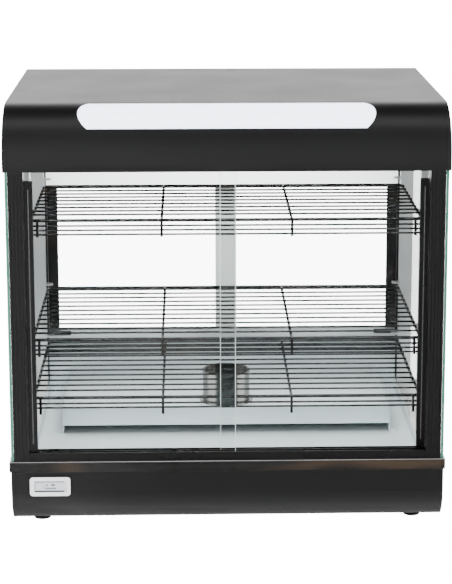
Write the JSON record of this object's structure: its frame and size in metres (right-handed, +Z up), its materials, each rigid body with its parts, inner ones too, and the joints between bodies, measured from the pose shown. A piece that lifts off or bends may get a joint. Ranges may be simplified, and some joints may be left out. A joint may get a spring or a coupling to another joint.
{
  "type": "hot food display case",
  "caption": "Countertop heated display case with a lit curved hood, glass sides, sliding glass doors front and back, wire shelves and a water cup on the heater deck.",
  "frame": {"origin": "centre of the footprint, on the surface the feet stand on", "axes": "+X to the right seen from the front, -Y towards the front, +Z up"},
  "size_m": [0.66, 0.6055, 0.641],
  "materials": {
    "black_paint": "satin black powder coat",
    "polished_steel": "bright polished stainless",
    "liner_steel": "fine brushed stainless",
    "deck_steel": "fine brushed stainless",
    "liner_white": "smooth white enamel",
    "post_black": "anodised dark grey, finely grooved",
    "pane_glass": "clear float glass with green edges",
    "door_glass": "clear float glass with green edges",
    "track_black": "extruded black plastic",
    "track_grey": "plain extruded aluminium",
    "lit_panel": "milk-white diffuser",
    "lamp_glass": "frosted white tube",
    "holder_plastic": "moulded off-white plastic",
    "upright_steel": "plain stainless strip",
    "heater_sheath": "heat-darkened steel sheath",
    "bezel_chrome": "bright chrome",
    "display_plastic": "clear gloss window over a pale face",
    "knob_black": "moulded black plastic",
    "screw_steel": "zinc-plated",
    "shelf_wire": "plated wire",
    "cup_steel": "polished stainless",
    "rocker_red": "moulded red plastic",
    "foot_rubber": "moulded black rubber",
    "cord_black": "matt black sheath",
    "tie_black": "woven hook-and-loop strap",
    "pin_brass": "bright brass"
  },
  "bodies": {
    "case": {"base_shell": "black_paint", "base_rear_panel": "black_paint", "rubber_feet": "foot_rubber", "trim_band": "polished_steel", "floor_pan": "liner_steel", "rear_liner": "liner_steel", "rear_sill": "black_paint", "front_posts": "post_black", "rear_posts": "post_black", "side_glass_left": "pane_glass", "side_glass_right": "pane_glass", "front_lower_track": "track_black", "front_upper_track": "track_black", "rear_lower_track": "track_grey", "rear_upper_track": "track_grey", "rear_header": "black_paint", "header_liner": "liner_white", "top_side_rails": "post_black", "ceiling_liner": "liner_white", "hood_shell": "black_paint", "hood_end_caps": "black_paint", "hood_rear_panel": "black_paint", "light_window": "lit_panel", "lamp_tube": "lamp_glass", "lamp_holders": "holder_plastic", "lamp_ballast": "liner_steel", "shelf_uprights": "upright_steel", "shelf_clips": "upright_steel", "heater_element": "heater_sheath", "heater_supports": "liner_steel", "heater_deck": "deck_steel", "thermometer_bezel": "bezel_chrome", "thermometer_face": "display_plastic", "thermostat_body": "holder_plastic", "switch_bodies": "knob_black", "case_screws": "screw_steel", "cord_gland": "cord_black", "cord_tube": "cord_black", "cord_coil": "cord_black", "cord_tie": "tie_black", "plug_body": "cord_black", "plug_pins": "pin_brass"},
    "front_door_left": {"front_door_left_glass": "door_glass", "front_door_left_pull": "track_black"},
    "front_door_right": {"front_door_right_glass": "door_glass", "front_door_right_pull": "track_black"},
    "rear_door_left": {"rear_door_left_glass": "door_glass", "rear_door_left_pull": "track_black"},
    "rear_door_right": {"rear_door_right_glass": "door_glass", "rear_door_right_pull": "track_black"},
    "shelf_top": {"top_shelf": "shelf_wire", "top_shelf_lip": "shelf_wire"},
    "shelf_middle": {"middle_shelf": "shelf_wire", "middle_shelf_lip": "shelf_wire"},
    "shelf_bottom": {"bottom_shelf": "shelf_wire", "bottom_shelf_lip": "shelf_wire"},
    "cup": {"water_cup": "cup_steel"},
    "heat_knob": {"thermostat_knob": "knob_black"},
    "power_switch": {"power_rocker": "rocker_red"},
    "lamp_switch": {"lamp_rocker": "knob_black"}
  },
  "joints": [
    {"name": "front_door_left_slide", "type": "slide", "parent": "case", "child": "front_door_left", "axis": [1, 0, 0], "range_m": [0, 0.28]},
    {"name": "front_door_right_slide", "type": "slide", "parent": "case", "child": "front_door_right", "axis": [-1, 0, 0], "range_m": [0, 0.28]},
    {"name": "rear_door_left_slide", "type": "slide", "parent": "case", "child": "rear_door_left", "axis": [1, 0, 0], "range_m": [0, 0.265]},
    {"name": "rear_door_right_slide", "type": "slide", "parent": "case", "child": "rear_door_right", "axis": [-1, 0, 0], "range_m": [0, 0.265]},
    {"name": "top_shelf_lift", "type": "slide", "parent": "case", "child": "shelf_top", "axis": [0, 0, 1], "range_m": [0, 0.012]},
    {"name": "middle_shelf_lift", "type": "slide", "parent": "case", "child": "shelf_middle", "axis": [0, 0, 1], "range_m": [0, 0.012]},
    {"name": "bottom_shelf_lift", "type": "slide", "parent": "case", "child": "shelf_bottom", "axis": [0, 0, 1], "range_m": [0, 0.012]},
    {"name": "cup_draw", "type": "slide", "parent": "case", "child": "cup", "axis": [0, -1, 0], "range_m": [0, 0.14]},
    {"name": "thermostat_turn", "type": "hinge", "parent": "case", "child": "heat_knob", "pos_m": [0.13, 0.221, 0.05], "axis": [0, 1, 0], "range_deg": [0, 270]},
    {"name": "power_rock", "type": "hinge", "parent": "case", "child": "power_switch", "pos_m": [0.19, 0.2172, 0.05], "axis": [0, 0, 1], "range_deg": [0, 20]},
    {"name": "lamp_rock", "type": "hinge", "parent": "case", "child": "lamp_switch", "pos_m": [0.235, 0.2172, 0.05], "axis": [0, 0, 1], "range_deg": [0, 20]}
  ]
}
